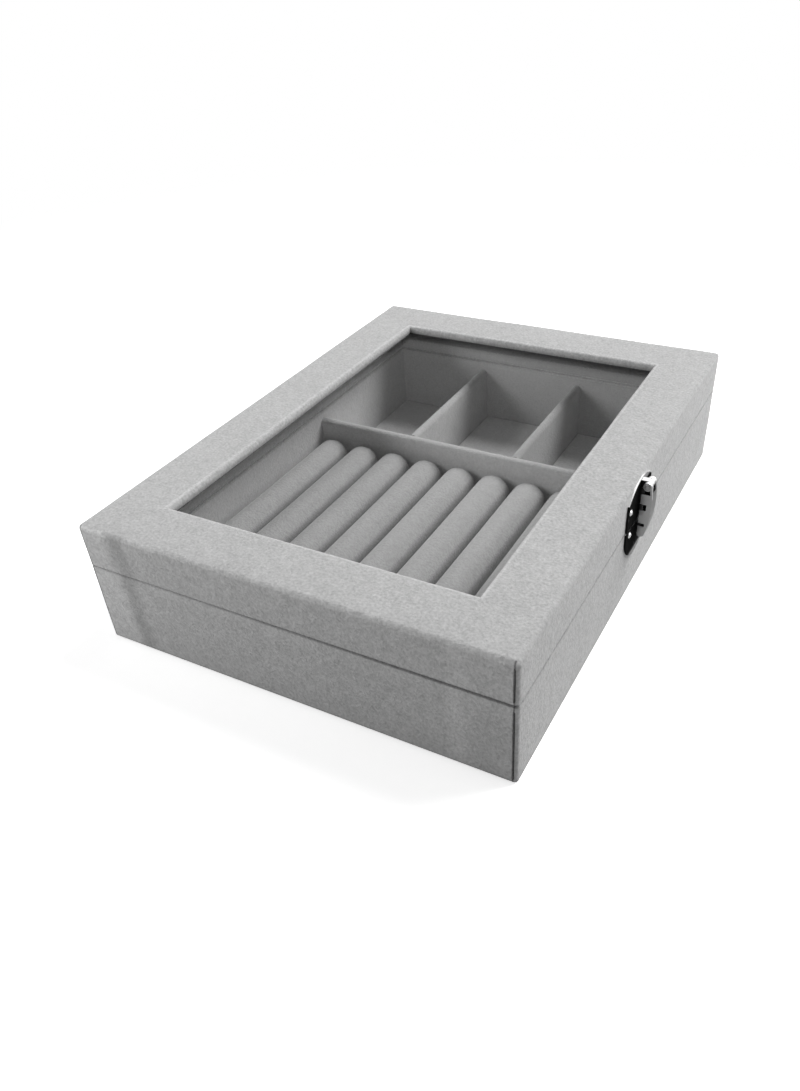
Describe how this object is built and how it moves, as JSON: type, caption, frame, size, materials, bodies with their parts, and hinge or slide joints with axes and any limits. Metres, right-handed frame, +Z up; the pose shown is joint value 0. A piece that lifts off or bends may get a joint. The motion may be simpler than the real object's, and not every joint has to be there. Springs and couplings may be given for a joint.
{
  "type": "ring display box",
  "caption": "Velvet-covered ring box with a hinged glazed lid, a clasp with a swinging tongue, soft ring rolls and divided compartments.",
  "frame": {"origin": "on the table, under the middle of the box's base", "axes": "+X from the hinge side to the clasp side, +Y from the ring rolls to the compartments, +Z up"},
  "size_m": [0.1581, 0.2, 0.046],
  "materials": {
    "outer_velvet": "short-pile velvet, matt, brushed unevenly",
    "lining_velvet": "short-pile velvet lining",
    "tray_velvet": "short-pile velvet over card",
    "roll_velvet": "short-pile velvet over foam",
    "felt": "thin felt sheet",
    "card": "plain card",
    "board_wood": "raw fibreboard",
    "glass": "clear, polished",
    "clasp_metal": "bright nickel plate",
    "hinge_metal": "bright nickel plate"
  },
  "bodies": {
    "base": {"bottom_felt": "felt", "bottom_board": "board_wood", "base_front_board": "board_wood", "base_back_board": "board_wood", "base_hinge_board": "board_wood", "base_clasp_board": "board_wood", "base_cover": "outer_velvet", "tray_lining": "lining_velvet", "cross_partition": "tray_velvet", "divider_left": "tray_velvet", "divider_right": "tray_velvet", "pad_left": "tray_velvet", "pad_middle": "tray_velvet", "pad_right": "tray_velvet", "roll_card": "card", "ring_roll_1": "roll_velvet", "ring_roll_2": "roll_velvet", "ring_roll_3": "roll_velvet", "ring_roll_4": "roll_velvet", "ring_roll_5": "roll_velvet", "ring_roll_6": "roll_velvet", "ring_roll_7": "roll_velvet", "ring_roll_8": "roll_velvet", "ring_roll_9": "roll_velvet", "clasp_lower_plate": "clasp_metal", "clasp_lower_tacks": "clasp_metal", "hinge_leaves_base": "hinge_metal", "hinge_pins": "hinge_metal", "hinge_tacks_base": "hinge_metal"},
    "lid": {"lid_front_board": "board_wood", "lid_back_board": "board_wood", "lid_hinge_board": "board_wood", "lid_clasp_board": "board_wood", "lid_top_frame": "board_wood", "lid_cover": "outer_velvet", "lid_lining": "lining_velvet", "glass_pane": "glass", "clasp_upper_plate": "clasp_metal", "clasp_pin": "clasp_metal", "clasp_upper_tacks": "clasp_metal", "hinge_leaves_lid": "hinge_metal", "hinge_tacks_lid": "hinge_metal"},
    "tongue": {"clasp_tongue": "clasp_metal"}
  },
  "joints": [
    {"name": "lid_hinge", "type": "hinge", "parent": "base", "child": "lid", "pos_m": [-0.07655, 0, 0.0305], "axis": [0, -1, 0], "range_deg": [0, 105]},
    {"name": "clasp_hinge", "type": "hinge", "parent": "lid", "child": "tongue", "pos_m": [0.0783, -0.003, 0.0438], "axis": [0, -1, 0], "range_deg": [0, 180]}
  ]
}
